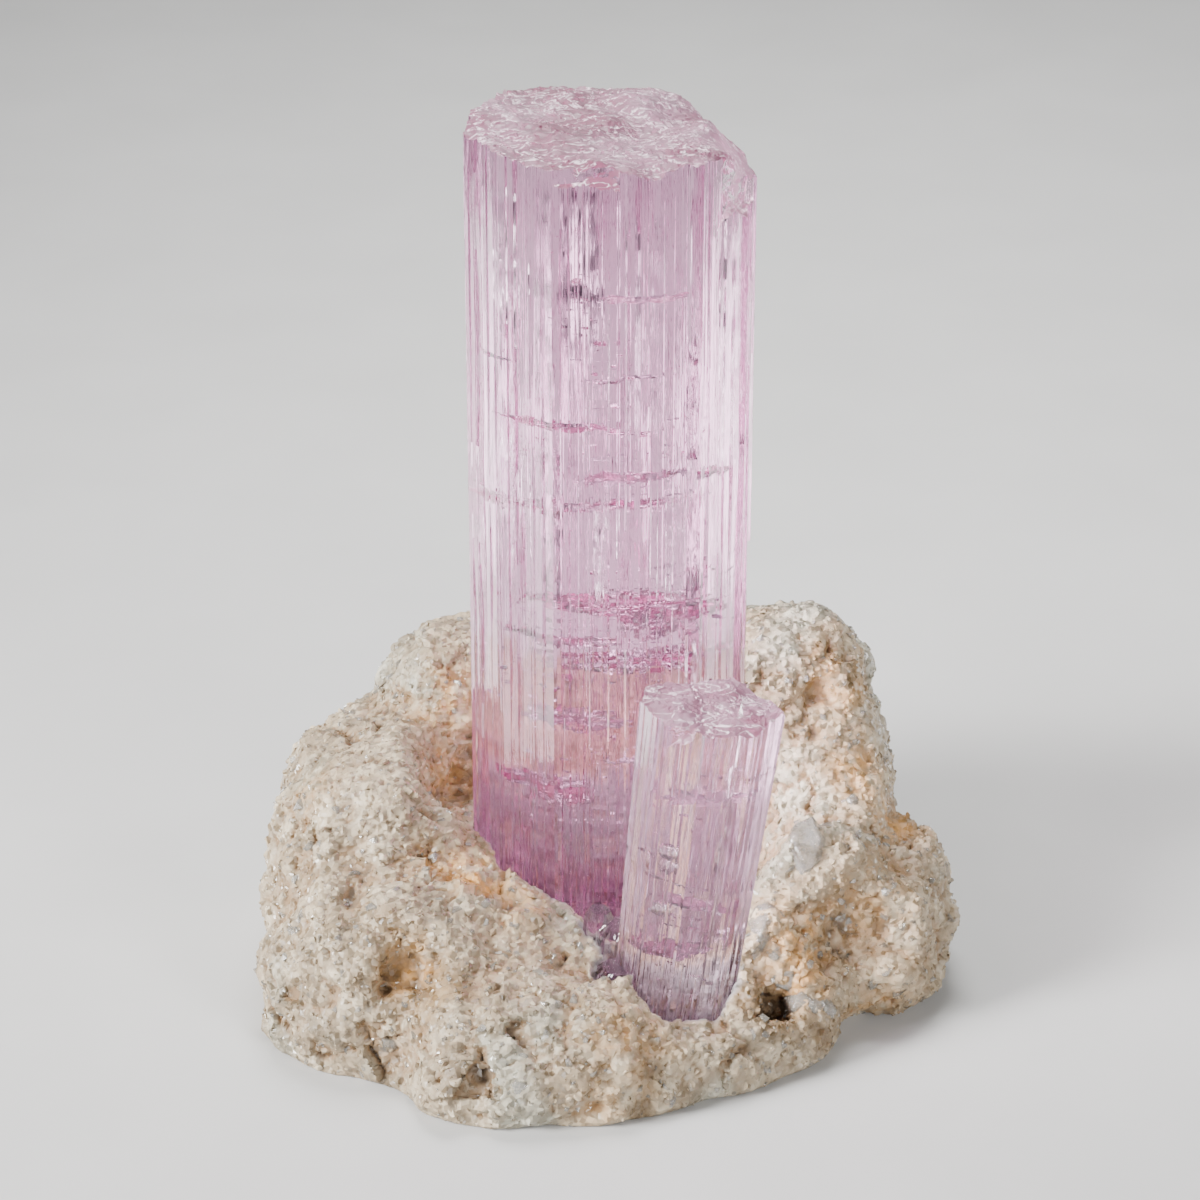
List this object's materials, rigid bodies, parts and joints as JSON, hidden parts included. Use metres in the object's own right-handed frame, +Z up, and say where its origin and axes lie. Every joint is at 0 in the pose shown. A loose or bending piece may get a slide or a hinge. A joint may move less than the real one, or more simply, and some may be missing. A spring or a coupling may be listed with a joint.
{
  "type": "kunzite crystal specimen on matrix",
  "caption": "Tall striated pink prism and a smaller leaning prism standing in a lump of granular feldspar and quartz, a display mineral specimen.",
  "frame": {"origin": "middle of the specimen's box, on the surface it rests on", "axes": "+Z up along the large crystal, -Y towards the side with the small crystal, +X to the right seen from there"},
  "size_m": [0.0858, 0.0736, 0.1127],
  "materials": {
    "matrix": "rough, sugary grains of white to cream feldspar and greyish quartz, stained tan and yellow in its hollows",
    "kunzite": "clear lilac pink crystal, glossy, striated along its length, with broken ends and healed fractures inside"
  },
  "bodies": {
    "root": {"matrix": "matrix", "large_crystal": "kunzite", "small_crystal": "kunzite"}
  },
  "joints": []
}
